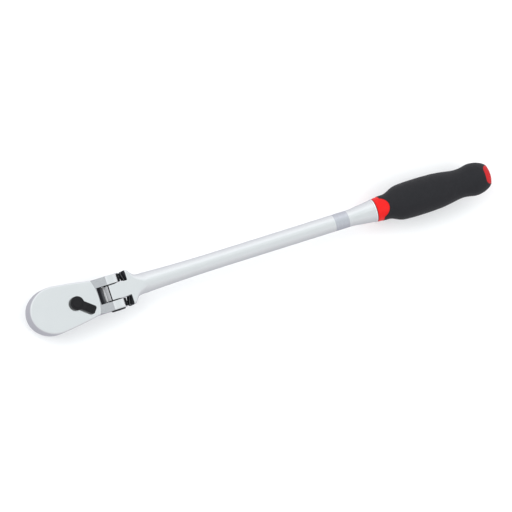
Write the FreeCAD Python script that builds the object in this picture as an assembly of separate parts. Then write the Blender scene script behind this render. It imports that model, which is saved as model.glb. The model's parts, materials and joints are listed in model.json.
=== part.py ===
import FreeCAD, Part
import math
import os

# Long flex-head ratchet wrench with a 1/2-inch square drive.
# Millimetres. The origin is on the drive axis at the end face of the square, +X runs along the handle
# towards the grip, +Z points to the side with the reversing lever.

V = FreeCAD.Vector

# ---- driving dimensions -------------------------------------------------------------------------
SQUARE = 12.7                 # across the flats of the drive
SQUARE_LENGTH = 16.0          # end face to the hub's seat
SQUARE_CORNER_R = 8.5         # the corners are turned down to this radius
SQUARE_TIP_CHAMFER = 1.0
SQUARE_SIDE_CHAMFER = 0.6

Z_BOTTOM = 17.0               # drive side of the head
Z_FACE = 37.0                 # lever side of the head
Z_MID = (Z_BOTTOM + Z_FACE) / 2
HEAD_TIP_X = -21.3            # front of the round end
NOSE_R = 20.0                 # arc round the front
NOSE_HALF_DEG = 45.0          # which spans this much each side of the middle
SIDE_R = 25.5                 # fuller arcs beside it, to just past the widest point
FLANK_START_DEG = 5.3         # slope of the side where the long flank takes over
FLANK_R = 345.0
FACE_FILLET = 1.5
DRIVE_SIDE_FILLET = 2.5
FORK_HALF_WIDTH = 16.0
FACE_END_R = 44.6             # the flat faces end on this circle about the drive axis
SLOPE_DEG = 11.0              # the faces then fall towards the ears

HINGE_X = 62.2
EAR_R = 9.3
EAR_CHAMFER = 0.7
FORK_GAP_HALF = 7.9
POCKET_X = 45.2               # mouth of the pocket between the ears
POCKET_WALL_X = 52.0          # its wall behind the tang's nose
POCKET_WALL_HALF = 3.0
POCKET_LIP = 1.2

TANG_HALF_WIDTH = 7.3
TANG_EDGE = 0.6
NOTCH_R = 0.7
NOTCH_OUT = 0.25              # the notches' centres stand this far outside the nose
NOTCH_STEP_DEG = 55.0         # one notch holds the head straight, one tilts it each way
NOTCH_COUNT_EACH_WAY = 1

# ---- mechanism in the head ----------------------------------------------------------------------
PLATE_THICK = 2.2
PLATE_R = 18.3
PLATE_TAIL_X = 25.5
PLATE_TAIL_R = 9.5
PLATE_GAP = 0.05
CAVITY_TOP = 31.3
GEAR_TEETH = 72
GEAR_TIP_R = 12.8
GEAR_ROOT_R = 12.15
GEAR_BORE_R = 13.1
GEAR_BOTTOM = 19.5
GEAR_TOP = 30.8
HUB_R = 10.5
HUB_HOLE_R = 10.58
JOURNAL_R = 7.5
JOURNAL_TOP = 34.0
JOURNAL_HEADROOM = 0.3
TOOTH_TIP_START = 0.42        # the flat tip of a gear tooth, in pitches
TOOTH_TIP_END = 0.58
DRAG_WASHER_R = 11.0
DRAG_WASHER_BORE_GAP = 0.2

LEVER_X = 23.1                # reversing lever's axis
LEVER_REST_DEG = -38.0        # towards -Y at rest, one end of its swing
STEM_R = 3.5
CAM_R = 4.3
CAM_TOP = 31.1
CAM_ROOM = 0.3                # free space round the cam
SPIGOT_R = 2.0
SPIGOT_LENGTH = 1.2
SPINDLE_SQUARE_HALF = 2.3     # square end, inside the lever
SPINDLE_END = 1.2             # which stops this far below the lever's top
STEM_IN_LEVER = 0.4
O_RING_WIRE_R = 0.75
O_RING_HALF = 0.85            # half the width of its groove
O_RING_Z = 34.2
O_RING_GROOVE_R = STEM_R + 2 * O_RING_WIRE_R

PAWL_PIN_X = 15.8
PAWL_PIN_R = 1.2
PAWL_PIN_SUNK = 2.0
PAWL_PIN_GAP = 0.04
PAWL_HALF_DEG = 40.0
PAWL_INNER_R = 13.75
PAWL_OUTER_R = 18.6
PAWL_TRACK_R = 5.5
PAWL_ROCK_DEG = 2.8           # each way from the middle
PAWL_TEETH = 4
PAWL_FIRST_TOOTH = 0.8        # pitches from the pawl's end to its first tooth
PAWL_TOOTH_ROOT = 0.45        # the teeth are rooted this deep in the pawl
PAWL_TIP_HALF = 0.06          # half width of a tooth's tip, in pitches
PAWL_LIFT = 0.02
PAWL_TOOTH_TIP_R = 12.9       # lifted to the top of its click, just clear of the gear's tips
PAWL_BOTTOM = 19.6
PAWL_TOP = 30.9
PAWL_ROOM_R = 19.4            # space for the pawl, cut out to this radius
PAWL_ROOM_X0 = 8.0
PAWL_ROOM_X1 = 21.0
PAWL_ROOM_HALF_Y = 13.0

PLUNGER_R = 1.25
PLUNGER_REACH = 5.2           # tip's distance from the lever's axis
PLUNGER_LENGTH = 4.2
PLUNGER_Z = 25.4
PLUNGER_ROOM = 0.35
PLUNGER_ROOM_X0 = 12.0        # where that space opens into the pawl's
PLUNGER_ROOM_HALF_Y = 5.0
PLUNGER_ROOM_END = 2.0        # and its other end, before the lever's axis
PAWL_SPRING_SEAT = 2.6        # bottom of the spring's hole, past the lever's axis
PAWL_SPRING_R = 0.95
PAWL_SPRING_WIRE_R = 0.2
PAWL_SPRING_TURNS = 4
SPRING_END_GAP = 0.02

BALL_R = 2.0
BALL_PROUD = 0.9
BALL_Z = 7.5
BALL_HOLE_DEPTH = 9.0
BALL_STAKE = 0.22             # the mouth is staked this much smaller than the ball
BALL_STAKE_DEPTH = 0.35
BALL_SPRING_R = 1.3
BALL_SPRING_WIRE_R = 0.3
BALL_SPRING_TURNS = 4

FLEX_PLUNGER_R = 2.5
FLEX_PLUNGER_LENGTH = 8.0
FLEX_PLUNGER_DOME_R = 4.0
FLEX_PLUNGER_LIFT = 0.12      # its tip stands this far clear of the tang's nose
FLEX_BORE_END_X = 36.0
FLEX_SPRING_R = 1.9
FLEX_SPRING_WIRE_R = 0.35
FLEX_SPRING_TURNS = 5

HINGE_SCREW_R = 3.5
HINGE_SCREW_HEAD_R = 6.7
HINGE_HEAD_SUNK = 1.5
HINGE_HEAD_PROUD = 1.1
HINGE_SCREW_EDGE = 0.5
HINGE_KEY = 5.0               # hexagon socket, across flats
HINGE_KEY_DEPTH = 3.0
HINGE_END_SUNK = 0.4
WASHER_R = 6.5
WASHER_GAP = 0.05

COVER_SCREW_R = 1.25
COVER_SCREW_HEAD_R = 2.3
COVER_SCREW_LENGTH = 7.0
COVER_SCREW_LAND = 0.2        # straight edge of the countersunk head
COVER_SCREW_KEY = 2.0
COVER_SCREW_KEY_DEPTH = 1.2
COVER_SCREW_HOLE_SPARE = 0.5
COVER_SCREW_CIRCLE_R = 15.9
COVER_SCREW_DEG = 130.0
COVER_SCREW_TAIL_X = 31.6

# ---- lever --------------------------------------------------------------------------------------
LEVER_BOSS_R = 6.4
LEVER_BOTTOM = Z_FACE + 0.3
LEVER_TOP = 42.0
LEVER_BOSS_EDGE = 0.8
LEVER_PAD_R = 4.7
LEVER_PAD_RISE = 0.7
LEVER_PAD_EDGE = 0.5
LEVER_REACH = 18.2
LEVER_ARM_HALF = 4.0
LEVER_ARM_TOP = 41.2
LEVER_ARM_START = 3.0
LEVER_CORNER_R = 2.0
LEVER_RIM_R = 0.7
LEVER_WEB_R = 2.0             # blend in plan between boss and arm
LEVER_RIBS = 4                # thumb grip: shallow grooves across the arm
LEVER_RIB_FIRST = 9.2
LEVER_RIB_STEP = 1.9
LEVER_RIB_WIDTH = 0.8
LEVER_RIB_DEPTH = 0.35

# ---- handle -------------------------------------------------------------------------------------
SHOULDER_FRONT_X = 75.6       # its front face beside the tang
SHOULDER_TIP_X = 73.2         # and at its two tips
SHOULDER_START_X = 72.0
SHOULDER_START_DROP = 1.3     # how much narrower it is there than at its crest
SHOULDER_START_THIN = 0.3
SHOULDER_CREST_X = 77.4
SHOULDER_HALF_WIDTH = 16.0
SHOULDER_HALF_THICK = 9.4
SHOULDER_CORNER_R = 2.6
SWEEP_END_X = 91.5            # the shoulder has narrowed to the round neck here
SWEEP_LENGTH = 3.9            # how fast it narrows
SWEEP_POWER = 1.6             # how gently it leaves the crest
SWEEP_ROUNDING = 1.3          # how late its corners round off
SWEEP_STEPS = 6
SWEEP_SPARE = 0.05            # least flat left between two corners
FLAT_SHARE_DEG = 6.0          # each side of the axes, the part of a circle that stands for the flats
SHANK_R = 7.72
NECK_START_X = 95.0
TAPER_END_X = 173.5
TAPER_ARC_R = 2080.0
FLARE_START_X = 299.3
FLARE_KNEE_X = 306.0
FLARE_KNEE_R = 8.7
FLARE_END_X = 319.7
FLARE_END_R = 10.2
LIP_R = 10.65                 # raised ring at the end of the flare
LIP_END_X = 321.3
LIP_EDGE = 0.2
LIP_GROOVE_R = 9.6            # narrow groove between it and the collar
COLLAR_X = 321.9
TAIL_R = 7.0
TAIL_END_X = 422.0

COLLAR_FRONT_R = 10.8
COLLAR_EDGE = 0.4
CORE_R = 11.2
CORE_END_X = 428.0
SLEEVE_FRONT_X = 327.4
SLEEVE_FRONT_R = 11.45
SCALLOP_R = 9.5               # round cut-outs in the front edge, top and bottom
SCALLOP_X = 324.15
GRIP_SWELL = [                # (x, radius) where the grip rises to its widest
    (331.0, 11.5),
    (334.8, 11.8),
    (340.0, 13.8),
    (344.2, 15.5),
    (351.0, 16.5),
    (364.0, 16.8),
    (377.0, 16.6),
    (392.0, 15.35),
]
GRIP_WAIST = (406.5, 13.4)
GRIP_BULB = [                 # and behind the waist
    (413.0, 13.95),
    (419.3, 15.05),
    (424.8, 14.7),
    (430.2, 13.1),
]
BUTT_X = 434.9                # the rounded end changes to a shallow dome here
BUTT_R = 10.2
TIP_X = 437.2
SLOT_X = 429.3                # the cap fills a slot across the butt of the sleeve
SLOT_HALF = 8.7
SLOT_CORNER_R = 4.2

CUT = 1.0                     # how far a cutting tool runs past a surface
SLIDE = 0.05                  # clearance on the radius of turning and sliding fits
FIT = 0.1                     # clearance of looser seats
TOUCH = 0.01                  # tolerance when edges are picked by place


# ---- small helpers ------------------------------------------------------------------------------
def box(x0, x1, y0, y1, z0, z1):
    return Part.makeBox(x1 - x0, y1 - y0, z1 - z0, V(x0, y0, z0))


def rod(radius, z0, z1, x=0.0, y=0.0):
    return Part.makeCylinder(radius, z1 - z0, V(x, y, z0), V(0, 0, 1))


def rod_x(radius, x0, x1, y=0.0, z=Z_MID):
    return Part.makeCylinder(radius, x1 - x0, V(x0, y, z), V(1, 0, 0))


def rod_y(radius, y0, y1, x=HINGE_X, z=Z_MID):
    return Part.makeCylinder(radius, y1 - y0, V(x, y0, z), V(0, 1, 0))


def polygon(points):
    return Part.Face(Part.makePolygon(points + [points[0]]))


def turned_z(outline, x=0.0, y=0.0):
    """Solid of revolution about a vertical axis, from (radius, z) points."""
    face = polygon([V(x + radius, y, z) for radius, z in outline])
    return face.revolve(V(x, y, 0), V(0, 0, 1), 360)


def turned_x(outline):
    """Solid of revolution about the handle's axis, from (x, radius) points."""
    face = polygon([V(x, 0, Z_MID + radius) for x, radius in outline])
    return face.revolve(V(0, 0, Z_MID), V(1, 0, 0), 360)


def turned_y(outline):
    """Solid of revolution about the hinge axis, from (y, radius) points."""
    face = polygon([V(HINGE_X, y, Z_MID + radius) for y, radius in outline])
    return face.revolve(V(HINGE_X, 0, Z_MID), V(0, 1, 0), 360)


def about_z(shape, degrees, x=0.0, y=0.0):
    turned = shape.copy()
    turned.rotate(V(x, y, 0), V(0, 0, 1), degrees)
    return turned


def mirrored_y(shape):
    return shape.mirror(V(0, 0, 0), V(0, 1, 0))


def polar(radius, degrees, z=0.0):
    angle = math.radians(degrees)
    return V(radius * math.cos(angle), radius * math.sin(angle), z)


def arc(start, middle, end):
    return Part.Arc(start, middle, end).toShape()


def line(start, end):
    return Part.LineSegment(start, end).toShape()


def coil(radius, wire_r, x0, x1, turns):
    """Compression spring along X from x0 to x1, on the X axis, with its wire inside those ends."""
    length = x1 - x0 - 2 * wire_r
    helix = Part.makeHelix(length / turns, length, radius)
    ring = Part.Wire(Part.makeCircle(wire_r, V(radius, 0, 0), V(0, 1, 0)))
    solid = Part.Wire(helix.Edges).makePipeShell([ring], True, True)
    solid.rotate(V(0, 0, 0), V(0, 1, 0), 90)
    solid.translate(V(x0 + wire_r, 0, 0))
    return solid


def save(name, shape):
    shape = shape.removeSplitter()
    shape.exportStep("parts/" + name + ".step")
    solids = len(shape.Solids)
    print(name, "valid" if shape.isValid() else "NOT VALID", solids, "solid(s)", round(shape.Volume, 2))


# ---- head ---------------------------------------------------------------------------------------
def head_block():
    """Teardrop outline from the round end to the hinge axis, full thickness, rims rounded."""
    nose_turn = 180 - NOSE_HALF_DEG
    flank_turn = 90 - FLANK_START_DEG
    nose_end = V(HEAD_TIP_X + NOSE_R, 0, Z_BOTTOM) + polar(NOSE_R, nose_turn)
    side_centre = nose_end - polar(SIDE_R, nose_turn)
    side_middle = side_centre + polar(SIDE_R, (nose_turn + flank_turn) / 2)
    leave = side_centre + polar(SIDE_R, flank_turn)
    centre = leave - polar(FLANK_R, flank_turn)
    rise = FORK_HALF_WIDTH - centre.y
    join = V(centre.x + math.sqrt(FLANK_R ** 2 - rise ** 2), FORK_HALF_WIDTH, Z_BOTTOM)
    chord = (leave + join) * 0.5 - centre
    bulge = centre + chord * (FLANK_R / chord.Length)
    corner = V(HINGE_X, FORK_HALF_WIDTH, Z_BOTTOM)
    flip = [V(p.x, -p.y, p.z) for p in (nose_end, side_middle, leave, bulge, join, corner)]
    edges = [
        arc(flip[0], V(HEAD_TIP_X, 0, Z_BOTTOM), nose_end),
        arc(nose_end, side_middle, leave),
        arc(leave, bulge, join),
        line(join, corner),
        line(corner, flip[5]),
        line(flip[5], flip[4]),
        arc(flip[4], flip[3], flip[2]),
        arc(flip[2], flip[1], flip[0]),
    ]
    block = Part.Face(Part.Wire(edges)).extrude(V(0, 0, Z_FACE - Z_BOTTOM))
    upper = rim_edges(block, Z_FACE)
    block = block.makeFillet(FACE_FILLET, upper)
    lower = rim_edges(block, Z_BOTTOM)
    return block.makeFillet(DRIVE_SIDE_FILLET, lower)


def rim_edges(block, level):
    """Edges of the outline at one level, but for the open end at the hinge."""
    rims = []
    for edge in block.Edges:
        bounds = edge.BoundBox
        if abs(bounds.ZMin - level) < TOUCH and bounds.ZLength < TOUCH and bounds.XMin < HINGE_X - CUT:
            rims.append(edge)
    return rims


def slope_cutter():
    """Ring about the drive axis that takes the face down to the ears, on both sides of the head."""
    outer = FACE_END_R + 30
    fall = (outer - FACE_END_R) * math.tan(math.radians(SLOPE_DEG))
    lid = Z_FACE + CUT
    above = [(FACE_END_R, Z_FACE), (outer, Z_FACE - fall), (outer, lid), (FACE_END_R, lid)]
    below = [(radius, 2 * Z_MID - z) for radius, z in above]
    return turned_z(above).fuse(turned_z(below))


def ear_barrel():
    reach = FORK_HALF_WIDTH
    outline = [
        (-reach, 0),
        (-reach, EAR_R - EAR_CHAMFER),
        (-reach + EAR_CHAMFER, EAR_R),
        (reach - EAR_CHAMFER, EAR_R),
        (reach, EAR_R - EAR_CHAMFER),
        (reach, 0),
    ]
    return turned_y(outline)


def fork_pocket():
    """Gap between the ears. Its wall stands close behind the tang's nose and flares to both faces."""
    half = (Z_FACE - Z_BOTTOM) / 2
    upper = [
        (HINGE_X + 2 * EAR_R, half + CUT),
        (POCKET_X, half + CUT),
        (POCKET_X, half - POCKET_LIP),
        (POCKET_WALL_X, POCKET_WALL_HALF),
    ]
    lower = [(x, -rise) for x, rise in reversed(upper)]
    points = [V(x, -FORK_GAP_HALF, Z_MID + rise) for x, rise in upper + lower]
    return polygon(points).extrude(V(0, 2 * FORK_GAP_HALF, 0))


def plate_outline(gap):
    """Teardrop of the cover plate: two circles and their common tangents, grown by a gap."""
    big = PLATE_R + gap
    small = PLATE_TAIL_R + gap
    lean = math.degrees(math.acos((big - small) / PLATE_TAIL_X))
    top_big = polar(big, lean)
    top_small = polar(small, lean) + V(PLATE_TAIL_X, 0, 0)
    low_big = V(top_big.x, -top_big.y, 0)
    low_small = V(top_small.x, -top_small.y, 0)
    edges = [
        arc(top_big, V(-big, 0, 0), low_big),
        line(low_big, low_small),
        arc(low_small, V(PLATE_TAIL_X + small, 0, 0), top_small),
        line(top_small, top_big),
    ]
    return Part.Face(Part.Wire(edges))


def plate_solid(gap, z0, z1):
    face = plate_outline(gap)
    face.translate(V(0, 0, z0))
    return face.extrude(V(0, 0, z1 - z0))


def cover_screw_places():
    left = polar(COVER_SCREW_CIRCLE_R, COVER_SCREW_DEG)
    return [left, V(left.x, -left.y, 0), V(COVER_SCREW_TAIL_X, 0, 0)]


def head_housing():
    shape = head_block().cut(slope_cutter()).fuse(ear_barrel())
    shape = shape.cut(fork_pocket())

    plate_top = Z_BOTTOM + PLATE_THICK
    reach_y = PAWL_ROOM_HALF_Y
    pawl_room = box(PAWL_ROOM_X0, PAWL_ROOM_X1, -reach_y, reach_y, Z_BOTTOM, CAVITY_TOP)
    reach_y = PLUNGER_ROOM_HALF_Y
    plunger_room = box(PLUNGER_ROOM_X0, LEVER_X - PLUNGER_ROOM_END, -reach_y, reach_y, Z_BOTTOM, CAVITY_TOP)
    tools = [
        plate_solid(PLATE_GAP, Z_BOTTOM - CUT, plate_top),
        rod(GEAR_BORE_R, Z_BOTTOM, CAVITY_TOP),
        rod(PAWL_ROOM_R, Z_BOTTOM, CAVITY_TOP).common(pawl_room),
        rod(JOURNAL_R + SLIDE, CAVITY_TOP - CUT, JOURNAL_TOP + JOURNAL_HEADROOM),
        rod(CAM_R + CAM_ROOM, Z_BOTTOM, CAVITY_TOP, LEVER_X),
        rod(PLUNGER_REACH + PLUNGER_ROOM, Z_BOTTOM, CAVITY_TOP, LEVER_X).common(plunger_room),
        rod(STEM_R + SLIDE, CAVITY_TOP - CUT, Z_FACE + CUT, LEVER_X),
        rod(O_RING_GROOVE_R, O_RING_Z - O_RING_HALF, O_RING_Z + O_RING_HALF, LEVER_X),
        rod(PAWL_PIN_R, CAVITY_TOP - CUT, CAVITY_TOP + PAWL_PIN_SUNK, PAWL_PIN_X),
        rod_x(FLEX_PLUNGER_R + SLIDE, FLEX_BORE_END_X, POCKET_WALL_X + CUT),
        rod_y(HINGE_SCREW_R, -FORK_HALF_WIDTH - CUT, FORK_HALF_WIDTH + CUT),
        rod_y(HINGE_SCREW_HEAD_R + FIT, -FORK_HALF_WIDTH - CUT, -FORK_HALF_WIDTH + HINGE_HEAD_SUNK),
    ]
    hole_end = Z_BOTTOM + COVER_SCREW_LENGTH + COVER_SCREW_HOLE_SPARE
    for place in cover_screw_places():
        tools.append(rod(COVER_SCREW_R, Z_BOTTOM, hole_end, place.x, place.y))
    for tool in tools:
        shape = shape.cut(tool)
    return shape


# ---- drive --------------------------------------------------------------------------------------
def drive_gear():
    """Toothed ring, upper journal, hub and square drive in one piece, with the ball's hole."""
    rim = []
    pitch = 360.0 / GEAR_TEETH
    for tooth in range(GEAR_TEETH):
        rim.append(polar(GEAR_ROOT_R, tooth * pitch, GEAR_BOTTOM))
        rim.append(polar(GEAR_TIP_R, (tooth + TOOTH_TIP_START) * pitch, GEAR_BOTTOM))
        rim.append(polar(GEAR_TIP_R, (tooth + TOOTH_TIP_END) * pitch, GEAR_BOTTOM))
    shape = polygon(rim).extrude(V(0, 0, GEAR_TOP - GEAR_BOTTOM))
    shape = shape.fuse(rod(JOURNAL_R, GEAR_TOP, JOURNAL_TOP))
    shape = shape.fuse(rod(HUB_R, SQUARE_LENGTH, GEAR_BOTTOM))

    half = SQUARE / 2
    square = box(-half, half, -half, half, 0, SQUARE_LENGTH)
    corner = SQUARE_CORNER_R
    tip = [
        (0, 0),
        (corner - SQUARE_TIP_CHAMFER, 0),
        (corner, SQUARE_TIP_CHAMFER),
        (corner, SQUARE_LENGTH),
        (0, SQUARE_LENGTH),
    ]
    square = square.common(turned_z(tip))
    square = square.makeChamfer(SQUARE_SIDE_CHAMFER, bottom_edges(square, half))
    shape = shape.fuse(square)
    return shape.cut(ball_hole())


def bottom_edges(square, half):
    """The four straight edges round the end face of the square."""
    edges = []
    for edge in square.Edges:
        bounds = edge.BoundBox
        flat = bounds.ZMax < TOUCH
        on_side = abs(abs(bounds.XMin + bounds.XMax) / 2 - half) < TOUCH
        on_side = on_side or abs(abs(bounds.YMin + bounds.YMax) / 2 - half) < TOUCH
        if flat and on_side:
            edges.append(edge)
    return edges


def ball_hole():
    """Blind hole from the -X flat, its mouth staked over the ball."""
    mouth = -SQUARE / 2
    hole = BALL_R + SLIDE
    outline = [
        (mouth - CUT, 0),
        (mouth - CUT, BALL_R - BALL_STAKE),
        (mouth, BALL_R - BALL_STAKE),
        (mouth + BALL_STAKE_DEPTH, hole),
        (mouth + BALL_HOLE_DEPTH, hole),
        (mouth + BALL_HOLE_DEPTH, 0),
    ]
    shape = turned_x(outline)
    shape.translate(V(0, 0, BALL_Z - Z_MID))
    return shape


def detent_ball():
    return Part.makeSphere(BALL_R, V(-SQUARE / 2 - BALL_PROUD + BALL_R, 0, BALL_Z))


def detent_spring():
    start = -SQUARE / 2 - BALL_PROUD + 2 * BALL_R + SPRING_END_GAP
    end = -SQUARE / 2 + BALL_HOLE_DEPTH - FIT
    spring = coil(BALL_SPRING_R, BALL_SPRING_WIRE_R, start, end, BALL_SPRING_TURNS)
    spring.translate(V(0, 0, BALL_Z))
    return spring


def drag_washer():
    """Thin ring between the gear and the roof of its cavity, which damps the drive."""
    disc = rod(DRAG_WASHER_R, GEAR_TOP + SLIDE, CAVITY_TOP - SLIDE)
    return disc.cut(rod(JOURNAL_R + DRAG_WASHER_BORE_GAP, GEAR_TOP, CAVITY_TOP))


# ---- pawl ---------------------------------------------------------------------------------------
def pawl():
    """Double-ended pawl, rocked so that its +Y end is at the gear."""
    height = PAWL_TOP - PAWL_BOTTOM
    ring = rod(PAWL_OUTER_R, PAWL_BOTTOM, PAWL_TOP)
    ring = ring.cut(rod(PAWL_INNER_R, PAWL_BOTTOM - CUT, PAWL_TOP + CUT))
    reach = 2 * PAWL_OUTER_R
    wedge = polygon([
        V(0, 0, PAWL_BOTTOM),
        polar(reach, -PAWL_HALF_DEG, PAWL_BOTTOM),
        polar(reach, PAWL_HALF_DEG, PAWL_BOTTOM),
    ]).extrude(V(0, 0, height))
    body = ring.common(wedge)
    teeth = pawl_teeth()
    body = body.fuse(teeth).fuse(mirrored_y(teeth))
    body = body.cut(rod(PAWL_TRACK_R, PAWL_BOTTOM - CUT, PAWL_TOP + CUT, LEVER_X))
    body = body.cut(rod(PAWL_PIN_R + PAWL_PIN_GAP, PAWL_BOTTOM - CUT, PAWL_TOP + CUT, PAWL_PIN_X))
    return about_z(body, PAWL_ROCK_DEG, PAWL_PIN_X)


def pawl_teeth():
    """Teeth of the +Y end, placed as they stand at the gear and turned back to the middle position."""
    pitch = 360.0 / GEAR_TEETH
    height = PAWL_TOP - PAWL_BOTTOM
    root_r = PAWL_INNER_R + PAWL_TOOTH_ROOT
    tip_r = PAWL_TOOTH_TIP_R + PAWL_LIFT
    solid = None
    for tooth in range(PAWL_TEETH):
        centre = PAWL_HALF_DEG - (tooth + PAWL_FIRST_TOOTH) * pitch
        points = [
            polar(root_r, centre - 0.5 * pitch, PAWL_BOTTOM),
            polar(tip_r, centre - PAWL_TIP_HALF * pitch, PAWL_BOTTOM),
            polar(tip_r, centre + PAWL_TIP_HALF * pitch, PAWL_BOTTOM),
            polar(root_r, centre + 0.5 * pitch, PAWL_BOTTOM),
        ]
        prism = polygon(points).extrude(V(0, 0, height))
        solid = prism if solid is None else solid.fuse(prism)
    return about_z(solid, -PAWL_ROCK_DEG, PAWL_PIN_X)


def pawl_pin():
    return rod(PAWL_PIN_R, Z_BOTTOM + PLATE_THICK, CAVITY_TOP + PAWL_PIN_SUNK, PAWL_PIN_X)


# ---- reversing lever ----------------------------------------------------------------------------
def lever_spindle():
    """Cam in the head, stem through the face, flats at the top for the lever."""
    plate_top = Z_BOTTOM + PLATE_THICK
    shape = rod(CAM_R, plate_top + FIT, CAM_TOP, LEVER_X)
    shape = shape.fuse(rod(SPIGOT_R, plate_top - SPIGOT_LENGTH + FIT, plate_top + FIT, LEVER_X))
    shape = shape.fuse(rod(STEM_R, CAM_TOP, LEVER_BOTTOM + STEM_IN_LEVER, LEVER_X))
    shape = shape.fuse(spindle_top())
    hole = rod_x(PLUNGER_R + SLIDE, -CAM_R - CUT, PAWL_SPRING_SEAT, 0, PLUNGER_Z)
    hole.translate(V(LEVER_X, 0, 0))
    return shape.cut(about_z(hole, LEVER_REST_DEG, LEVER_X))


def spindle_top():
    """Square end of the spindle, inside the lever."""
    half = SPINDLE_SQUARE_HALF
    end = LEVER_TOP - SPINDLE_END
    top = box(LEVER_X - half, LEVER_X + half, -half, half, LEVER_BOTTOM + STEM_IN_LEVER, end)
    return about_z(top, LEVER_REST_DEG, LEVER_X)


def reversing_lever():
    """Round boss with a raised pad and a short square-ended arm, grooved for the thumb."""
    boss_top = LEVER_TOP - LEVER_PAD_RISE
    boss = turned_z([
        (0, LEVER_BOTTOM),
        (LEVER_BOSS_R, LEVER_BOTTOM),
        (LEVER_BOSS_R, boss_top - LEVER_BOSS_EDGE),
        (LEVER_BOSS_R - LEVER_BOSS_EDGE, boss_top),
        (LEVER_PAD_R, boss_top),
        (LEVER_PAD_R - LEVER_PAD_EDGE, LEVER_TOP),
        (0, LEVER_TOP),
    ])
    shape = boss.fuse(lever_arm())
    shape = shape.fuse(lever_web(1)).fuse(lever_web(-1))
    shape.translate(V(LEVER_X, 0, 0))
    shape = about_z(shape, LEVER_REST_DEG, LEVER_X)
    shape = shape.cut(rod(STEM_R, LEVER_BOTTOM - CUT, LEVER_BOTTOM + STEM_IN_LEVER, LEVER_X))
    return shape.cut(spindle_top())


def lever_arm():
    """Arm along +X from the boss, with round corners, a soft rim and grooves across its top."""
    half = LEVER_ARM_HALF
    arm = box(LEVER_ARM_START, LEVER_REACH, -half, half, LEVER_BOTTOM, LEVER_ARM_TOP)
    corners = []
    for edge in arm.Edges:
        bounds = edge.BoundBox
        if bounds.XMin > LEVER_REACH - TOUCH and bounds.ZLength > TOUCH:
            corners.append(edge)
    arm = arm.makeFillet(LEVER_CORNER_R, corners)
    rim = []
    for edge in arm.Edges:
        bounds = edge.BoundBox
        if bounds.ZMin > LEVER_ARM_TOP - TOUCH and bounds.XMax > LEVER_ARM_START + TOUCH:
            rim.append(edge)
    arm = arm.makeFillet(LEVER_RIM_R, rim)
    floor = LEVER_ARM_TOP - LEVER_RIB_DEPTH
    for rib in range(LEVER_RIBS):
        start = LEVER_RIB_FIRST + rib * LEVER_RIB_STEP
        end = start + LEVER_RIB_WIDTH
        arm = arm.cut(box(start, end, -half - CUT, half + CUT, floor, LEVER_ARM_TOP + CUT))
    return arm


def lever_web(side):
    """Fillet in plan between the boss and one side of the arm."""
    blend = LEVER_WEB_R
    gap = LEVER_ARM_HALF + blend
    reach = LEVER_BOSS_R + blend
    centre = V(math.sqrt(reach ** 2 - gap ** 2), side * gap, 0)
    on_boss = centre * (LEVER_BOSS_R / reach)
    top = LEVER_TOP - LEVER_PAD_RISE - LEVER_BOSS_EDGE
    web = polygon([
        V(0, 0, LEVER_BOTTOM),
        V(on_boss.x, on_boss.y, LEVER_BOTTOM),
        V(centre.x, side * (gap - FIT), LEVER_BOTTOM),
        V(centre.x, 0, LEVER_BOTTOM),
    ]).extrude(V(0, 0, top - LEVER_BOTTOM))
    return web.cut(rod(blend, LEVER_BOTTOM - CUT, top + CUT, centre.x, centre.y))


def lever_o_ring():
    return Part.makeTorus(STEM_R + O_RING_WIRE_R, O_RING_WIRE_R, V(LEVER_X, 0, O_RING_Z), V(0, 0, 1))


def pawl_plunger():
    tip = PLUNGER_REACH
    shank = rod_x(PLUNGER_R, -tip + PLUNGER_R, -tip + PLUNGER_LENGTH, 0, PLUNGER_Z)
    shape = shank.fuse(Part.makeSphere(PLUNGER_R, V(-tip + PLUNGER_R, 0, PLUNGER_Z)))
    shape.translate(V(LEVER_X, 0, 0))
    return about_z(shape, LEVER_REST_DEG, LEVER_X)


def pawl_spring():
    start = -PLUNGER_REACH + PLUNGER_LENGTH + SPRING_END_GAP
    end = PAWL_SPRING_SEAT - SPRING_END_GAP
    spring = coil(PAWL_SPRING_R, PAWL_SPRING_WIRE_R, start, end, PAWL_SPRING_TURNS)
    spring.translate(V(LEVER_X, 0, PLUNGER_Z))
    return about_z(spring, LEVER_REST_DEG, LEVER_X)


# ---- cover --------------------------------------------------------------------------------------
def cover_plate():
    shape = plate_solid(0, Z_BOTTOM, Z_BOTTOM + PLATE_THICK)
    shape = shape.cut(rod(HUB_HOLE_R, Z_BOTTOM - CUT, Z_BOTTOM + PLATE_THICK + CUT))
    floor = Z_BOTTOM + PLATE_THICK - SPIGOT_LENGTH
    shape = shape.cut(rod(SPIGOT_R + SLIDE, floor, Z_BOTTOM + PLATE_THICK + CUT, LEVER_X))
    for place in cover_screw_places():
        shape = shape.cut(cover_screw_form(place, SLIDE))
    return shape


def cover_screw_form(place, gap):
    """Countersunk head and shank, point upwards into the head."""
    cone = COVER_SCREW_HEAD_R - COVER_SCREW_R
    outline = [
        (0, Z_BOTTOM),
        (COVER_SCREW_HEAD_R + gap, Z_BOTTOM),
        (COVER_SCREW_HEAD_R + gap, Z_BOTTOM + COVER_SCREW_LAND),
        (COVER_SCREW_R + gap, Z_BOTTOM + COVER_SCREW_LAND + cone),
        (COVER_SCREW_R + gap, Z_BOTTOM + PLATE_THICK),
        (COVER_SCREW_R, Z_BOTTOM + PLATE_THICK),
        (COVER_SCREW_R, Z_BOTTOM + COVER_SCREW_LENGTH),
        (0, Z_BOTTOM + COVER_SCREW_LENGTH),
    ]
    return turned_z(outline, place.x, place.y)


def hex_prism(across_flats, depth):
    radius = across_flats / math.sqrt(3)
    return polygon([polar(radius, 60 * corner) for corner in range(6)]).extrude(V(0, 0, depth))


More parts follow.
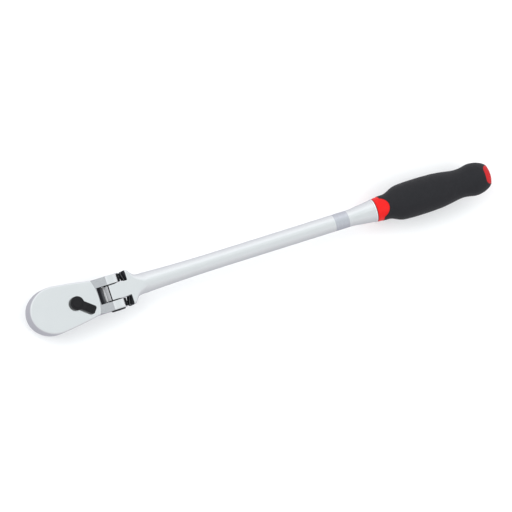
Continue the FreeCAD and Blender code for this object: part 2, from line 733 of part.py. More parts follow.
def cover_screws():
    screws = []
    for place in cover_screw_places():
        key = hex_prism(COVER_SCREW_KEY, COVER_SCREW_KEY_DEPTH + CUT)
        key.translate(V(place.x, place.y, Z_BOTTOM - CUT))
        screws.append(cover_screw_form(place, 0).cut(key))
    return Part.makeCompound(screws)


# ---- hinge --------------------------------------------------------------------------------------
def hinge_screw():
    """Shoulder screw through both ears, its low head just proud of the -Y ear."""
    head_face = -FORK_HALF_WIDTH - HINGE_HEAD_PROUD
    under_head = -FORK_HALF_WIDTH + HINGE_HEAD_SUNK
    end = FORK_HALF_WIDTH - HINGE_END_SUNK
    edge = HINGE_SCREW_EDGE
    shape = turned_y([
        (head_face, 0),
        (head_face, HINGE_SCREW_HEAD_R - edge),
        (head_face + edge, HINGE_SCREW_HEAD_R),
        (under_head, HINGE_SCREW_HEAD_R),
        (under_head, HINGE_SCREW_R),
        (end - edge, HINGE_SCREW_R),
        (end, HINGE_SCREW_R - edge),
        (end, 0),
    ])
    key = hex_prism(HINGE_KEY, HINGE_KEY_DEPTH + CUT)
    key.rotate(V(0, 0, 0), V(1, 0, 0), -90)
    key.translate(V(HINGE_X, head_face - CUT, Z_MID))
    return shape.cut(key)


def hinge_washers():
    """Thin washers that fill the gap between the tang and each ear."""
    washers = []
    for side in (-1, 1):
        inner = side * (TANG_HALF_WIDTH + WASHER_GAP)
        outer = side * (FORK_GAP_HALF - WASHER_GAP)
        low = min(inner, outer)
        high = max(inner, outer)
        disc = rod_y(WASHER_R, low, high)
        washers.append(disc.cut(rod_y(HINGE_SCREW_R + FIT, low - CUT, high + CUT)))
    return Part.makeCompound(washers)


def flex_plunger():
    """Sprung detent pin in the head, its round tip lifted just clear of the tang's nose."""
    tip = HINGE_X - EAR_R - FLEX_PLUNGER_LIFT
    radius = FLEX_PLUNGER_R
    dome_x = tip - FLEX_PLUNGER_DOME_R
    pin = rod_x(radius, tip - FLEX_PLUNGER_LENGTH, tip)
    dome = Part.makeSphere(FLEX_PLUNGER_DOME_R, V(dome_x, 0, Z_MID))
    return pin.common(dome.fuse(rod_x(radius + CUT, tip - 2 * FLEX_PLUNGER_LENGTH, dome_x)))


def flex_spring():
    start = FLEX_BORE_END_X + SPRING_END_GAP
    end = HINGE_X - EAR_R - FLEX_PLUNGER_LIFT - FLEX_PLUNGER_LENGTH - SPRING_END_GAP
    spring = coil(FLEX_SPRING_R, FLEX_SPRING_WIRE_R, start, end, FLEX_SPRING_TURNS)
    spring.translate(V(0, 0, Z_MID))
    return spring


# ---- handle -------------------------------------------------------------------------------------
def tang():
    """Flat tongue with a round, notched nose about the hinge axis."""
    half = TANG_HALF_WIDTH
    nose = turned_y([
        (-half, 0),
        (-half, EAR_R - TANG_EDGE),
        (-half + TANG_EDGE, EAR_R),
        (half - TANG_EDGE, EAR_R),
        (half, EAR_R - TANG_EDGE),
        (half, 0),
    ])
    section = [
        (-half, -EAR_R + TANG_EDGE),
        (-half, EAR_R - TANG_EDGE),
        (-half + TANG_EDGE, EAR_R),
        (half - TANG_EDGE, EAR_R),
        (half, EAR_R - TANG_EDGE),
        (half, -EAR_R + TANG_EDGE),
        (half - TANG_EDGE, -EAR_R),
        (-half + TANG_EDGE, -EAR_R),
    ]
    bar = polygon([V(HINGE_X, y, Z_MID + z) for y, z in section])
    shape = nose.fuse(bar.extrude(V(SHOULDER_CREST_X - HINGE_X, 0, 0)))
    for step in range(-NOTCH_COUNT_EACH_WAY, NOTCH_COUNT_EACH_WAY + 1):
        angle = math.radians(180 + step * NOTCH_STEP_DEG)
        x = HINGE_X + (EAR_R + NOTCH_OUT) * math.cos(angle)
        z = Z_MID + (EAR_R + NOTCH_OUT) * math.sin(angle)
        shape = shape.cut(rod_y(NOTCH_R, -half - CUT, half + CUT, x, z))
    return shape


def ring_of_arcs(corners):
    """Closed wire from four (start, middle, end) arcs joined by four shorter edges."""
    edges = []
    for index, (first, middle, last) in enumerate(corners):
        edges.append(arc(first, middle, last))
        following = corners[(index + 1) % 4][0]
        edges.append(line(last, following))
    return Part.Wire(edges)


def rounded_section(x, half_width, half_height, corner):
    """Closed wire across the handle: a rectangle with round corners."""
    flat_y = half_width - corner
    flat_z = half_height - corner
    bow = corner * math.sqrt(0.5)
    corners = []
    for side_y, side_z in [(1, 1), (-1, 1), (-1, -1), (1, -1)]:
        on_side = V(x, side_y * half_width, Z_MID + side_z * flat_z)
        on_top = V(x, side_y * flat_y, Z_MID + side_z * half_height)
        middle = V(x, side_y * (flat_y + bow), Z_MID + side_z * (flat_z + bow))
        first, last = (on_side, on_top) if side_y * side_z > 0 else (on_top, on_side)
        corners.append((first, middle, last))
    return ring_of_arcs(corners)


def round_section(x, radius):
    """Closed wire across the handle: a circle in eight arcs, to pair with a rounded rectangle's edges."""
    share = FLAT_SHARE_DEG

    def at(degrees):
        angle = math.radians(degrees)
        return V(x, radius * math.cos(angle), Z_MID + radius * math.sin(angle))

    edges = []
    for quarter in range(4):
        start = 90 * quarter + share
        end = 90 * (quarter + 1) - share
        edges.append(arc(at(start), at((start + end) / 2), at(end)))
        edges.append(arc(at(end), at(end + share), at(end + 2 * share)))
    return Part.Wire(edges)


def neck_r(x):
    """Radius of the neck, which tapers along a large arc until it is the straight shank."""
    return SHANK_R + TAPER_ARC_R - math.sqrt(TAPER_ARC_R ** 2 - (TAPER_END_X - x) ** 2)


def sweep(x):
    """Half width, half thickness and corner radius of the cross-piece where it narrows to the neck."""
    share = (x - SHOULDER_CREST_X) / (SWEEP_END_X - SHOULDER_CREST_X)
    end_r = neck_r(SWEEP_END_X)
    fall = sweep_fall(x) / sweep_fall(SWEEP_END_X)
    half_width = SHOULDER_HALF_WIDTH + (end_r - SHOULDER_HALF_WIDTH) * fall
    half_thick = SHOULDER_HALF_THICK + (end_r - SHOULDER_HALF_THICK) * share
    corner = SHOULDER_CORNER_R + (end_r - SHOULDER_CORNER_R) * share ** SWEEP_ROUNDING
    return half_width, half_thick, min(corner, half_thick - SWEEP_SPARE, half_width - SWEEP_SPARE)


def sweep_fall(x):
    """Share of the narrowing that is done at x, before it is scaled to end exactly at the neck."""
    return 1 - math.exp(-((x - SHOULDER_CREST_X) / SWEEP_LENGTH) ** SWEEP_POWER)


def shoulder():
    """Cross-piece as wide as the fork, swept back into the round neck on each side."""
    wires = []
    for x in (SHOULDER_START_X, (SHOULDER_START_X + SHOULDER_CREST_X) / 2):
        away = ((SHOULDER_CREST_X - x) / (SHOULDER_CREST_X - SHOULDER_START_X)) ** 2
        half_width = SHOULDER_HALF_WIDTH - SHOULDER_START_DROP * away
        half_thick = SHOULDER_HALF_THICK - SHOULDER_START_THIN * away
        wires.append(rounded_section(x, half_width, half_thick, SHOULDER_CORNER_R))
    stride = (SWEEP_END_X - SHOULDER_CREST_X) / SWEEP_STEPS
    for step in range(SWEEP_STEPS):
        x = SHOULDER_CREST_X + step * stride
        wires.append(rounded_section(x, *sweep(x)))
    for x in (SWEEP_END_X, NECK_START_X):
        wires.append(round_section(x, neck_r(x)))
    swell = Part.makeLoft(wires, True, False)

    lean = (SHOULDER_FRONT_X - SHOULDER_TIP_X) / (SHOULDER_HALF_WIDTH - TANG_HALF_WIDTH)
    reach = SHOULDER_HALF_WIDTH + 2 * CUT
    front = [
        (SHOULDER_START_X - CUT, -reach),
        (SHOULDER_TIP_X - lean * 2 * CUT, -reach),
        (SHOULDER_FRONT_X, -TANG_HALF_WIDTH),
        (SHOULDER_FRONT_X, TANG_HALF_WIDTH),
        (SHOULDER_TIP_X - lean * 2 * CUT, reach),
        (SHOULDER_START_X - CUT, reach),
    ]
    base = Z_MID - 2 * SHOULDER_HALF_THICK
    cutter = polygon([V(x, y, base) for x, y in front]).extrude(V(0, 0, 4 * SHOULDER_HALF_THICK))
    return swell.cut(cutter)


def shank_rod():
    """Turned part of the handle: tapering neck, straight shank, flare, and the tail inside the grip."""
    middle_x = (TAPER_END_X + NECK_START_X) / 2

    def at(x, radius):
        return V(x, 0, Z_MID + radius)

    neck_start = at(NECK_START_X, neck_r(NECK_START_X))
    edges = [
        arc(neck_start, at(middle_x, neck_r(middle_x)), at(TAPER_END_X, SHANK_R)),
    ]
    run = [
        at(TAPER_END_X, SHANK_R),
        at(FLARE_START_X, SHANK_R),
        at(FLARE_KNEE_X, FLARE_KNEE_R),
        at(FLARE_END_X, FLARE_END_R),
        at(FLARE_END_X + LIP_EDGE, LIP_R),
        at(LIP_END_X - LIP_EDGE, LIP_R),
        at(LIP_END_X, LIP_R - LIP_EDGE),
        at(LIP_END_X, LIP_GROOVE_R),
        at(COLLAR_X, LIP_GROOVE_R),
        at(COLLAR_X, TAIL_R),
        at(TAIL_END_X - 1, TAIL_R),
        at(TAIL_END_X, TAIL_R - 1),
        at(TAIL_END_X, 0),
        at(NECK_START_X, 0),
        neck_start,
    ]
    for start, end in zip(run, run[1:]):
        edges.append(line(start, end))
    return Part.Face(Part.Wire(edges)).revolve(V(0, 0, Z_MID), V(1, 0, 0), 360)


def handle_shank():
    shape = tang().fuse(shoulder()).fuse(shank_rod())
    return shape.cut(rod_y(HINGE_SCREW_R + SLIDE, -TANG_HALF_WIDTH - CUT, TANG_HALF_WIDTH + CUT))


def grip_core():
    """Hard inner grip: the collar that shows at the front, then a plain tube under the sleeve."""
    outline = [
        (COLLAR_X, TAIL_R),
        (COLLAR_X, COLLAR_FRONT_R - COLLAR_EDGE),
        (COLLAR_X + COLLAR_EDGE, COLLAR_FRONT_R),
        (SLEEVE_FRONT_X, CORE_R),
        (CORE_END_X, CORE_R),
        (CORE_END_X, TAIL_R),
    ]
    return turned_x(outline)


def grip_form():
    """Outside of the whole grip behind the collar: waisted, with a rounded butt."""
    form = [(SLEEVE_FRONT_X, SLEEVE_FRONT_R)] + GRIP_SWELL + [GRIP_WAIST] + GRIP_BULB + [(BUTT_X, BUTT_R)]

    def at(x, radius):
        return V(x, 0, Z_MID + radius)

    curve = Part.BSplineCurve()
    curve.interpolate([at(x, radius) for x, radius in form])
    dome_r = (BUTT_R ** 2 + (TIP_X - BUTT_X) ** 2) / (2 * (TIP_X - BUTT_X))
    half = BUTT_R / 2
    half_x = TIP_X - dome_r + math.sqrt(dome_r ** 2 - half ** 2)
    edges = [
        curve.toShape(),
        arc(at(BUTT_X, BUTT_R), at(half_x, half), at(TIP_X, 0)),
        line(at(TIP_X, 0), at(SLEEVE_FRONT_X, 0)),
        line(at(SLEEVE_FRONT_X, 0), at(SLEEVE_FRONT_X, SLEEVE_FRONT_R)),
    ]
    return Part.Face(Part.Wire(edges)).revolve(V(0, 0, Z_MID), V(1, 0, 0), 360)


def cap_slot():
    """Slot across the butt, top to bottom, with rounded inner corners."""
    reach = 2 * CORE_R
    slot = box(SLOT_X, TIP_X + CUT, -SLOT_HALF, SLOT_HALF, Z_MID - reach, Z_MID + reach)
    corners = []
    for edge in slot.Edges:
        bounds = edge.BoundBox
        if bounds.ZLength > reach and bounds.XMax < SLOT_X + TOUCH:
            corners.append(edge)
    return slot.makeFillet(SLOT_CORNER_R, corners)


def grip_sleeve():
    """Soft overmould with a scalloped front edge, forked round the cap at the butt."""
    shape = grip_form()
    shape = shape.cut(rod_x(CORE_R, SLEEVE_FRONT_X - CUT, CORE_END_X))
    shape = shape.cut(rod_x(TAIL_R, CORE_END_X - CUT, SLOT_X + CUT))
    shape = shape.cut(cap_slot())
    return shape.cut(rod(SCALLOP_R, Z_MID - 2 * CORE_R, Z_MID + 2 * CORE_R, SCALLOP_X))


def end_cap():
    """Plug in the end of the core, widening to a band across the butt, flush with the sleeve."""
    form = grip_form()
    form.rotate(V(0, 0, Z_MID), V(1, 0, 0), 90)
    band = form.common(cap_slot())
    return band.fuse(rod_x(TAIL_R, TAIL_END_X + 1, SLOT_X + SLOT_CORNER_R))


# ---- output -------------------------------------------------------------------------------------
NODES = [
    head_housing, cover_plate, cover_screws, drive_gear, drag_washer, detent_ball, detent_spring,
    pawl, pawl_pin, lever_spindle, lever_o_ring, pawl_plunger, pawl_spring, reversing_lever,
    hinge_screw, hinge_washers, flex_plunger, flex_spring,
    handle_shank, grip_core, grip_sleeve, end_cap,
]

os.makedirs("parts", exist_ok=True)
for node in NODES:
    save(node.__name__, node())
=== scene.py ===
import json
import math

import bpy
from mathutils import Matrix, Vector

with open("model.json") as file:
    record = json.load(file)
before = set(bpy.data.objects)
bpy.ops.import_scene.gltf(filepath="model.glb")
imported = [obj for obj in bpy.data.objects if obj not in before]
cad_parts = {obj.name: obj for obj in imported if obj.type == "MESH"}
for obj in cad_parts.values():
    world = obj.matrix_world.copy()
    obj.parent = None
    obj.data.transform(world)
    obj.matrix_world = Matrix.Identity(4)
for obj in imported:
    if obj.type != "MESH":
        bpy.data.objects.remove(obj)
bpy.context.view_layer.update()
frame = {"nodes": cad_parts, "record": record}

MM = 0.001
NODES = frame["nodes"]


# ---- materials ----------------------------------------------------------------------------------
class Shader:
    """A Principled material with short calls for the procedural nodes that feed it."""

    def __init__(self, name, **sockets):
        self.material = bpy.data.materials.new(name)
        self.material.use_nodes = True
        self.tree = self.material.node_tree
        self.nodes = self.tree.nodes
        self.bsdf = self.nodes["Principled BSDF"]
        for socket, value in sockets.items():
            self.bsdf.inputs[socket.replace("_", " ")].default_value = value
        self.place = self.nodes.new("ShaderNodeTexCoord").outputs["Object"]

    def link(self, source, target):
        self.tree.links.new(source, target)

    def set(self, socket, source):
        self.link(source, self.bsdf.inputs[socket])

    def mapped(self, scale):
        node = self.nodes.new("ShaderNodeMapping")
        node.inputs["Scale"].default_value = scale
        self.link(self.place, node.inputs["Vector"])
        return node.outputs["Vector"]

    def noise(self, size, detail=3.0, rough=0.5, at=None):
        node = self.nodes.new("ShaderNodeTexNoise")
        node.inputs["Scale"].default_value = 1 / size
        node.inputs["Detail"].default_value = detail
        node.inputs["Roughness"].default_value = rough
        self.link(at or self.place, node.inputs["Vector"])
        return node.outputs["Fac"]

    def cells(self, size):
        node = self.nodes.new("ShaderNodeTexVoronoi")
        node.inputs["Scale"].default_value = 1 / size
        self.link(self.place, node.inputs["Vector"])
        return node.outputs["Distance"]

    def span(self, source, low, high, to_low=0.0, to_high=1.0):
        """The source, spread from low..high to to_low..to_high and held at those ends."""
        node = self.nodes.new("ShaderNodeMapRange")
        limits = {"From Min": low, "From Max": high, "To Min": to_low, "To Max": to_high}
        for socket, value in limits.items():
            node.inputs[socket].default_value = value
        self.link(source, node.inputs["Value"])
        return node.outputs["Result"]

    def math(self, operation, first, second=None):
        node = self.nodes.new("ShaderNodeMath")
        node.operation = operation
        for socket, value in zip(node.inputs, (first, second)):
            if value is None:
                continue
            if isinstance(value, (int, float)):
                socket.default_value = value
            else:
                self.link(value, socket)
        return node.outputs["Value"]

    def after(self, source, place, soft):
        """0 up to the place and 1 beyond it, with a soft edge of the given width."""
        return self.span(source, place, place + soft)

    def before(self, source, place, soft):
        return self.span(source, place, place - soft)

    def both(self, first, second):
        return self.math("MULTIPLY", first, second)

    def either(self, first, second):
        return self.math("MAXIMUM", first, second)

    def length(self, first, second):
        """Distance from an axis, from the two offsets across it."""
        squares = (self.math("MULTIPLY", offset, offset) for offset in (first, second))
        return self.math("SQRT", self.math("ADD", *squares))

    def unless(self, share, socket, full):
        """Sets a socket to its full value, falling to 0 where the share is 1."""
        self.set(socket, self.span(share, 0.0, 1.0, full, 0.0))

    def axis(self, letter):
        node = self.nodes.new("ShaderNodeSeparateXYZ")
        self.link(self.place, node.inputs["Vector"])
        return node.outputs[letter]

    def blend(self, share, first, second):
        """Colour between two others, each a plain colour or a node's output."""
        node = self.nodes.new("ShaderNodeMix")
        node.data_type = "RGBA"
        self.link(share, node.inputs["Factor"])
        for socket, value in ((node.inputs[6], first), (node.inputs[7], second)):
            if isinstance(value, tuple):
                socket.default_value = (*value, 1)
            else:
                self.link(value, socket)
        return node.outputs[2]

    def bump(self, height, depth, strength):
        node = self.nodes.new("ShaderNodeBump")
        node.inputs["Strength"].default_value = strength
        node.inputs["Distance"].default_value = depth
        self.link(height, node.inputs["Height"])
        self.set("Normal", node.outputs["Normal"])


LINE_SHADE = 0.86                    # the darker of two shades, against the lighter
DIELECTRIC_SHINE = 0.5               # the shader's usual specular level
CHROME_LOW = (0.83, 0.845, 0.855)
CHROME_HIGH = (0.875, 0.885, 0.89)
RECESS_PAINTED_SHADE = (0.02, 0.021, 0.024)        # painted shade, near-black, in the pocket, on the cross-piece's front and in the groove
GROUND = (0.60, 0.61, 0.625)         # brushed after plating
BAND_LOW = (0.60, 0.615, 0.665)
BAND_HIGH = (0.67, 0.685, 0.735)
# the lighter end of the painted shade on the pocket's wall
POCKET_WALL_PAINTED_SHADE_END = (0.12, 0.122, 0.13)
NOSE_PAINTED_HIGHLIGHT = (0.95, 0.955, 0.96)     # painted highlight along the edge of the tang's nose
NOSE_PAINTED_GREY = (0.48, 0.485, 0.50)      # painted reflection: flat grey behind it, standing in for the chrome's reflection; brushing lines go over it
# painted shade in the notches of the tang's nose
NOTCH_PAINTED_SHADE = (0.015, 0.015, 0.017)
# painted reflection: a grey stripe across the middle of the front's painted shade
STREAK_PAINTED_REFLECTION = (0.20, 0.205, 0.215)
# painted highlight: near-white ring on the lip at the end of the shank
LIP_PAINTED_HIGHLIGHT = (0.98, 0.985, 0.99)
GROUND_LINES = (220, 5200, 220)      # brushing runs along X and Z
BAND_LINES = (5200, 160, 160)        # brushing runs round the shank

# Places: X is along the wrench, SIDE is the distance from its middle plane.
HINGE_X = 62.2 * MM
HINGE_Z = 27 * MM
SLOPE_FROM_DRIVE = 44.5 * MM         # the face's round edge, measured from the drive axis
SLOPE_END_X = 57.1 * MM
POCKET_X = 45.22 * MM
POCKET_SIDE = 7.94 * MM
POCKET_FADE_X = (49.0 * MM, 52.0 * MM)
TANG_SIDE = 7.29 * MM
NOSE_BAND_X = 53.75 * MM
NOSE_END_X = 56.9 * MM
NOTCH_END_X = 60.2 * MM
NOTCH_R = 9.2 * MM                   # the notches cut deeper than this; the nose's own radius is 9.3
BAND_X = (280.6 * MM, 294.5 * MM)
LIP_HIGHLIGHT_X = (319.7 * MM, 321.3 * MM)
FRONT_SHADE_X = (71.8 * MM, 75.75 * MM)    # front of the cross-piece, beside the tang, which takes painted shade
FRONT_SHADE_SIDE = 7.33 * MM
STREAK_REFLECTION_HALF = (1.6 * MM, 0.8 * MM)   # painted reflection across the front's middle, from its faint edge to its full strength
# painted shade: a near-black line in the groove behind the lip
GROOVE_X = (321.28 * MM, 321.95 * MM)
BUTT_SHADE_FADE_X = (400 * MM, 410 * MM)   # painted shade: the red darkens from the collar's to the butt's


def chrome(s):
    """Lightly clouded chrome plate with fine polishing marks."""
    s.set("Roughness", s.span(s.noise(2.5 * MM, 5, 0.6), 0.3, 0.7, 0.16, 0.22))
    s.bump(s.noise(0.5 * MM, 3, 0.6), 0.004 * MM, 0.5)
    return s.blend(s.noise(9 * MM, 4, 0.55), CHROME_LOW, CHROME_HIGH)


def shade(colour):
    return tuple(LINE_SHADE * channel for channel in colour)


def brushed(s, across, low, high):
    """Fine lines: the mapping's scale stretches them along two axes and packs them along the third."""
    lines = s.noise(1.0, 3, 0.6, s.mapped(across))
    return s.blend(s.span(lines, 0.35, 0.65), low, high)


def head_chrome():
    """Plated head: brushed slopes in front of the ears, painted shade in the pocket between them."""
    s = Shader("polished_chrome")
    x = s.axis("X")
    side = s.math("ABSOLUTE", s.axis("Y"))
    colour = chrome(s)
    from_drive = s.length(x, side)
    slope = s.both(s.after(from_drive, SLOPE_FROM_DRIVE, 0.3 * MM), s.before(x, SLOPE_END_X, 0.4 * MM))
    colour = s.blend(slope, colour, brushed(s, GROUND_LINES, shade(GROUND), GROUND))
    # Painted shade: the pocket is near-black, lighter along X on its wall, not metal and without
    # specular.
    pocket_shade = s.both(s.after(x, POCKET_X, 0.23 * MM), s.before(side, POCKET_SIDE, 0.03 * MM))
    pocket_wall_shade = s.blend(s.span(x, *POCKET_FADE_X), RECESS_PAINTED_SHADE, POCKET_WALL_PAINTED_SHADE_END)
    s.set("Base Color", s.blend(pocket_shade, colour, pocket_wall_shade))
    s.unless(pocket_shade, "Metallic", 1.0)
    s.unless(pocket_shade, "Specular IOR Level", DIELECTRIC_SHINE)
    return s.material


def shank_chrome():
    """Plated handle: brushed band; on the tang nose a painted highlight, then painted grey reflection
    with brushing lines; painted shade in the notches, on the cross-piece's front and in the groove; a
    painted reflection stripe on that front; a painted highlight on the lip at the end.
    """
    s = Shader("shank_chrome")
    x = s.axis("X")
    side = s.math("ABSOLUTE", s.axis("Y"))
    rise = s.math("SUBTRACT", s.axis("Z"), HINGE_Z)
    from_hinge = s.length(s.math("SUBTRACT", x, HINGE_X), rise)
    on_tang = s.before(side, TANG_SIDE, 0.05 * MM)

    # Painted highlight and painted reflection on the tang's nose: a bright edge, then grey with brushing
    # lines, neither metal.
    nose = s.both(on_tang, s.before(x, NOSE_END_X, 0.3 * MM))
    nose_painted_band = brushed(s, GROUND_LINES, shade(NOSE_PAINTED_GREY), NOSE_PAINTED_GREY)
    nose_painted_light = s.blend(s.after(x, NOSE_BAND_X, 0.2 * MM), NOSE_PAINTED_HIGHLIGHT, nose_painted_band)
    # Painted shade: the notches are near-black, not metal and without specular.
    notch = s.both(s.before(from_hinge, NOTCH_R, 0.08 * MM), s.before(x, NOTCH_END_X, 0.2 * MM))
    notch = s.both(notch, on_tang)
    band = s.both(s.after(x, BAND_X[0], 0.3 * MM), s.before(x, BAND_X[1], 0.3 * MM))
    # Painted highlight: the lip's chrome is coloured near-white.
    lip = s.both(s.after(x, LIP_HIGHLIGHT_X[0], 0.2 * MM), s.before(x, LIP_HIGHLIGHT_X[1], 0.2 * MM))
    # Painted shade: the cross-piece's front beside the tang is near-black, not metal and without
    # specular.
    beside = s.both(s.after(side, FRONT_SHADE_SIDE, 0.07 * MM), s.before(x, FRONT_SHADE_X[1], 0.15 * MM))
    front = s.both(beside, s.after(x, FRONT_SHADE_X[0], 0.1 * MM))
    # Painted reflection: a grey stripe along the middle of the front's painted shade.
    streak_reflection = s.both(front, s.span(s.math("ABSOLUTE", rise), *STREAK_REFLECTION_HALF))
    # Painted shade: a near-black line in the groove, not metal and without specular.
    groove = s.both(s.after(x, GROOVE_X[0], 0.04 * MM), s.before(x, GROOVE_X[1], 0.05 * MM))
    painted_shade = s.either(front, groove)

    colour = s.blend(nose, chrome(s), nose_painted_light)
    colour = s.blend(notch, colour, NOTCH_PAINTED_SHADE)
    colour = s.blend(band, colour, brushed(s, BAND_LINES, BAND_LOW, BAND_HIGH))
    colour = s.blend(lip, colour, LIP_PAINTED_HIGHLIGHT)
    colour = s.blend(painted_shade, colour, RECESS_PAINTED_SHADE)
    s.set("Base Color", s.blend(streak_reflection, colour, STREAK_PAINTED_REFLECTION))
    # The painted shade and the nose's painted light are not metal; the painted shade has no specular.
    shaded = s.either(painted_shade, notch)
    s.unless(s.either(shaded, nose), "Metallic", 1.0)
    s.unless(shaded, "Specular IOR Level", DIELECTRIC_SHINE)
    return s.material


def plain_metal(name, colour, rough_low, rough_high):
    s = Shader(name, Metallic=1.0)
    s.set("Base Color", s.blend(s.noise(3 * MM, 4, 0.6), shade(colour), colour))
    s.set("Roughness", s.span(s.noise(1.2 * MM, 4, 0.6), 0.3, 0.7, rough_low, rough_high))
    s.bump(s.noise(0.25 * MM, 3, 0.6), 0.01 * MM, 0.5)
    return s.material


def black_plastic():
    s = Shader("lever_black", Specular_IOR_Level=0.25)
    s.set("Base Color", s.blend(s.noise(2 * MM, 4, 0.6), (0.005, 0.005, 0.006), (0.009, 0.009, 0.01)))
    s.set("Roughness", s.span(s.noise(0.8 * MM, 4, 0.6), 0.3, 0.7, 0.36, 0.5))
    s.bump(s.noise(0.25 * MM, 3, 0.6), 0.02 * MM, 0.6)
    return s.material


def red_plastic():
    s = Shader("grip_red", Specular_IOR_Level=0.25)
    clouds = s.noise(6 * MM, 3, 0.5)
    front = s.blend(clouds, (0.66, 0.006, 0.005), (0.73, 0.009, 0.008))
    # Painted shade: the red is darker towards the butt.
    butt_shaded = s.blend(clouds, (0.48, 0.010, 0.013), (0.54, 0.013, 0.016))
    s.set("Base Color", s.blend(s.span(s.axis("X"), *BUTT_SHADE_FADE_X), front, butt_shaded))
    s.set("Roughness", s.span(s.noise(1.5 * MM, 4, 0.6), 0.3, 0.7, 0.3, 0.42))
    s.bump(s.noise(0.3 * MM, 3, 0.6), 0.012 * MM, 0.5)
    return s.material


def rubber(name):
    s = Shader(name, Specular_IOR_Level=0.25)
    s.set("Base Color", s.blend(s.noise(5 * MM, 4, 0.6), (0.010, 0.010, 0.012), (0.016, 0.016, 0.019)))
    s.set("Roughness", s.span(s.noise(1.5 * MM, 4, 0.6), 0.3, 0.7, 0.45, 0.6))
    s.bump(s.span(s.cells(0.55 * MM), 0.2, 0.6), 0.03 * MM, 0.6)
    return s.material


# ---- stage --------------------------------------------------------------------------------------
FRAME_WIDTH = 0.465                  # across the picture, at the wrench
LENS = 900.0
SENSOR = 36.0
AIM = Vector((0.2013, -0.0073, 0.027))
TOWARDS_CAMERA = Vector((-0.290, -0.035, 0.950)).normalized()
HANDLE_RISE_DEG = 17.47              # the handle climbs to the right by this in the picture
LIGHT_SIZE = 1.6
KEY_WATTS = 26
FILL_WATTS = 16
FLOOR_SIZE = 8
AIM_FLOOR_X = 0.2
FLOOR_DROP = 0.0002                  # just under the lowest point, so that the faces don't meet


def add_camera():
    data = bpy.data.cameras.new("camera")
    data.lens = LENS
    data.sensor_width = SENSOR
    data.clip_end = 50
    camera = bpy.data.objects.new("camera", data)
    bpy.context.scene.collection.objects.link(camera)
    handle = Vector((1, 0, 0))
    flat = (handle - handle.dot(TOWARDS_CAMERA) * TOWARDS_CAMERA).normalized()
    across = Matrix.Rotation(-math.radians(HANDLE_RISE_DEG), 3, TOWARDS_CAMERA) @ flat
    up = TOWARDS_CAMERA.cross(across)
    distance = FRAME_WIDTH * LENS / SENSOR
    place = AIM + distance * TOWARDS_CAMERA
    turn = Matrix((across, up, TOWARDS_CAMERA)).transposed().to_4x4()
    camera.matrix_world = Matrix.Translation(place) @ turn
    bpy.context.scene.camera = camera


def add_area(name, place, power):
    """Square light pointed at the wrench, which the chrome doesn't mirror."""
    data = bpy.data.lights.new(name, "AREA")
    data.size = LIGHT_SIZE
    data.energy = power
    light = bpy.data.objects.new(name, data)
    light.location = place
    light.rotation_euler = (Vector(place) - AIM).to_track_quat("Z", "Y").to_euler()
    light.visible_glossy = False
    bpy.context.scene.collection.objects.link(light)


WORLD_LEVELS = [
    # height of the direction (-1 is straight down, 1 straight up), colour
    (-1.0, (0.50, 0.495, 0.55)),
    (-0.93, (0.53, 0.53, 0.58)),
    (-0.75, (0.68, 0.685, 0.72)),
    (-0.2, (0.78, 0.79, 0.82)),
    (0.0, (0.80, 0.81, 0.84)),
    (0.4, (0.90, 0.915, 0.935)),
    (0.65, (0.94, 0.965, 0.99)),
    (0.93, (0.85, 0.89, 0.90)),
    (1.0, (0.85, 0.89, 0.90)),
]
WORLD_DIM_SIDE = 0.84                # brightness towards -Y
WORLD_BRIGHT_SIDE = 1.12             # and towards +Y
WORLD_SIDE_REACH = 0.75              # the brightness changes within this part of the direction's Y


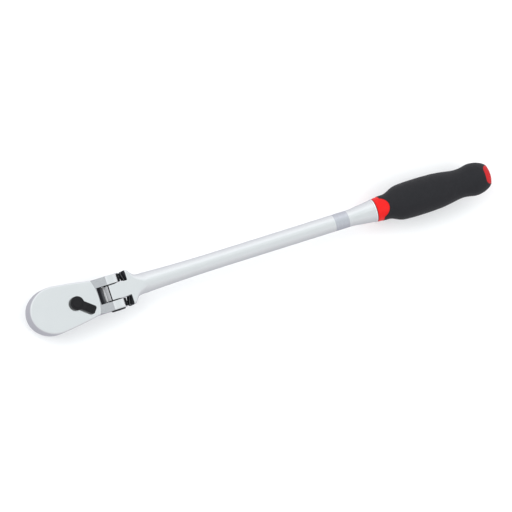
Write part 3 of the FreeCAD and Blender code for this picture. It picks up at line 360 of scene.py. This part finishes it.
def add_world():
    """A pale tent: bright overhead, a little greyer below, lighter on the +Y side than on the other."""
    world = bpy.data.worlds.new("studio")
    bpy.context.scene.world = world
    world.use_nodes = True
    nodes = world.node_tree.nodes
    links = world.node_tree.links
    place = nodes.new("ShaderNodeTexCoord")
    split = nodes.new("ShaderNodeSeparateXYZ")
    height = nodes.new("ShaderNodeMapRange")
    height.inputs["From Min"].default_value = -1
    ramp = nodes.new("ShaderNodeValToRGB")
    links.new(place.outputs["Generated"], split.inputs["Vector"])
    links.new(split.outputs["Z"], height.inputs["Value"])
    links.new(height.outputs["Result"], ramp.inputs["Fac"])
    stops = ramp.color_ramp.elements
    stops[0].position = 0.0
    stops[0].color = (*WORLD_LEVELS[0][1], 1)
    stops[1].position = 1.0
    stops[1].color = (*WORLD_LEVELS[-1][1], 1)
    for level, colour in WORLD_LEVELS[1:-1]:
        stops.new((level + 1) / 2).color = (*colour, 1)
    tilt = nodes.new("ShaderNodeMapRange")
    tilt.inputs["From Min"].default_value = -WORLD_SIDE_REACH
    tilt.inputs["From Max"].default_value = WORLD_SIDE_REACH
    tilt.inputs["To Min"].default_value = WORLD_DIM_SIDE
    tilt.inputs["To Max"].default_value = WORLD_BRIGHT_SIDE
    links.new(split.outputs["Y"], tilt.inputs["Value"])
    links.new(ramp.outputs["Color"], nodes["Background"].inputs["Color"])
    links.new(tilt.outputs["Result"], nodes["Background"].inputs["Strength"])


def add_floor():
    bpy.ops.mesh.primitive_plane_add(size=FLOOR_SIZE, location=(AIM_FLOOR_X, 0, -FLOOR_DROP))
    floor = bpy.context.object
    floor.name = "floor"
    s = Shader("floor")
    s.set("Base Color", s.blend(s.noise(0.4, 2, 0.5), (0.96, 0.96, 0.96), (0.98, 0.98, 0.98)))
    s.set("Roughness", s.span(s.noise(0.02, 2, 0.5), 0.3, 0.7, 0.8, 0.9))
    floor.data.materials.append(s.material)
    floor.visible_glossy = False


# ---- finish -------------------------------------------------------------------------------------
def paint(node, material):
    mesh = NODES[node].data
    mesh.materials.clear()
    mesh.materials.append(material)


FINISH = {
    "polished_chrome": head_chrome(),
    "shank_chrome": shank_chrome(),
    "drive_steel": plain_metal("drive_steel", (0.58, 0.585, 0.6), 0.28, 0.42),
    "satin_steel": plain_metal("satin_steel", (0.62, 0.63, 0.65), 0.3, 0.42),
    "ball_steel": plain_metal("ball_steel", (0.75, 0.76, 0.78), 0.08, 0.16),
    "spring_steel": plain_metal("spring_steel", (0.45, 0.46, 0.48), 0.25, 0.4),
    "black_oxide": plain_metal("black_oxide", (0.03, 0.03, 0.034), 0.35, 0.5),
    "lever_black": black_plastic(),
    "grip_red": red_plastic(),
    "grip_black": rubber("grip_black"),
    "seal_rubber": rubber("seal_rubber"),
}
for row in frame["record"]["subparts"]:
    paint(row["node"], FINISH[row["material_slot"]])

add_floor()
add_world()
add_camera()
add_area("key", (-1.0, 0.9, 1.9), KEY_WATTS)
add_area("fill", (1.2, -0.9, 1.9), FILL_WATTS)
bpy.context.scene.view_settings.view_transform = "Standard"
